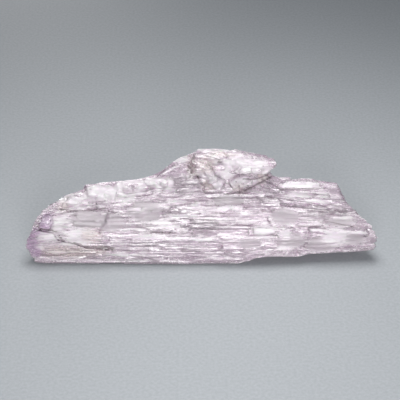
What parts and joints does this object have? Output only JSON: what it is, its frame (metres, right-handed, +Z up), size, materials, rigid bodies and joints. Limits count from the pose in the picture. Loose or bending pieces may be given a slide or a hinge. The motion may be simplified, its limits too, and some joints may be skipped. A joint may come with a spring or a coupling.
{
  "type": "kunzite crystal",
  "caption": "Rough lilac kunzite crystal, a striated blade with a broken knob on its crest, lying on its flat underside.",
  "frame": {"origin": "on the surface it rests on, under the middle of its length and of its depth", "axes": "+X along the striations, from the violet tip to the raised end; +Y from the front face to the back; +Z up"},
  "size_m": [0.059, 0.0184, 0.0137],
  "materials": {
    "crystal": "clear to milky crystal, striated and glossy, with frosted white breaks"
  },
  "bodies": {
    "root": {"kunzite_crystal": "crystal"}
  },
  "joints": []
}
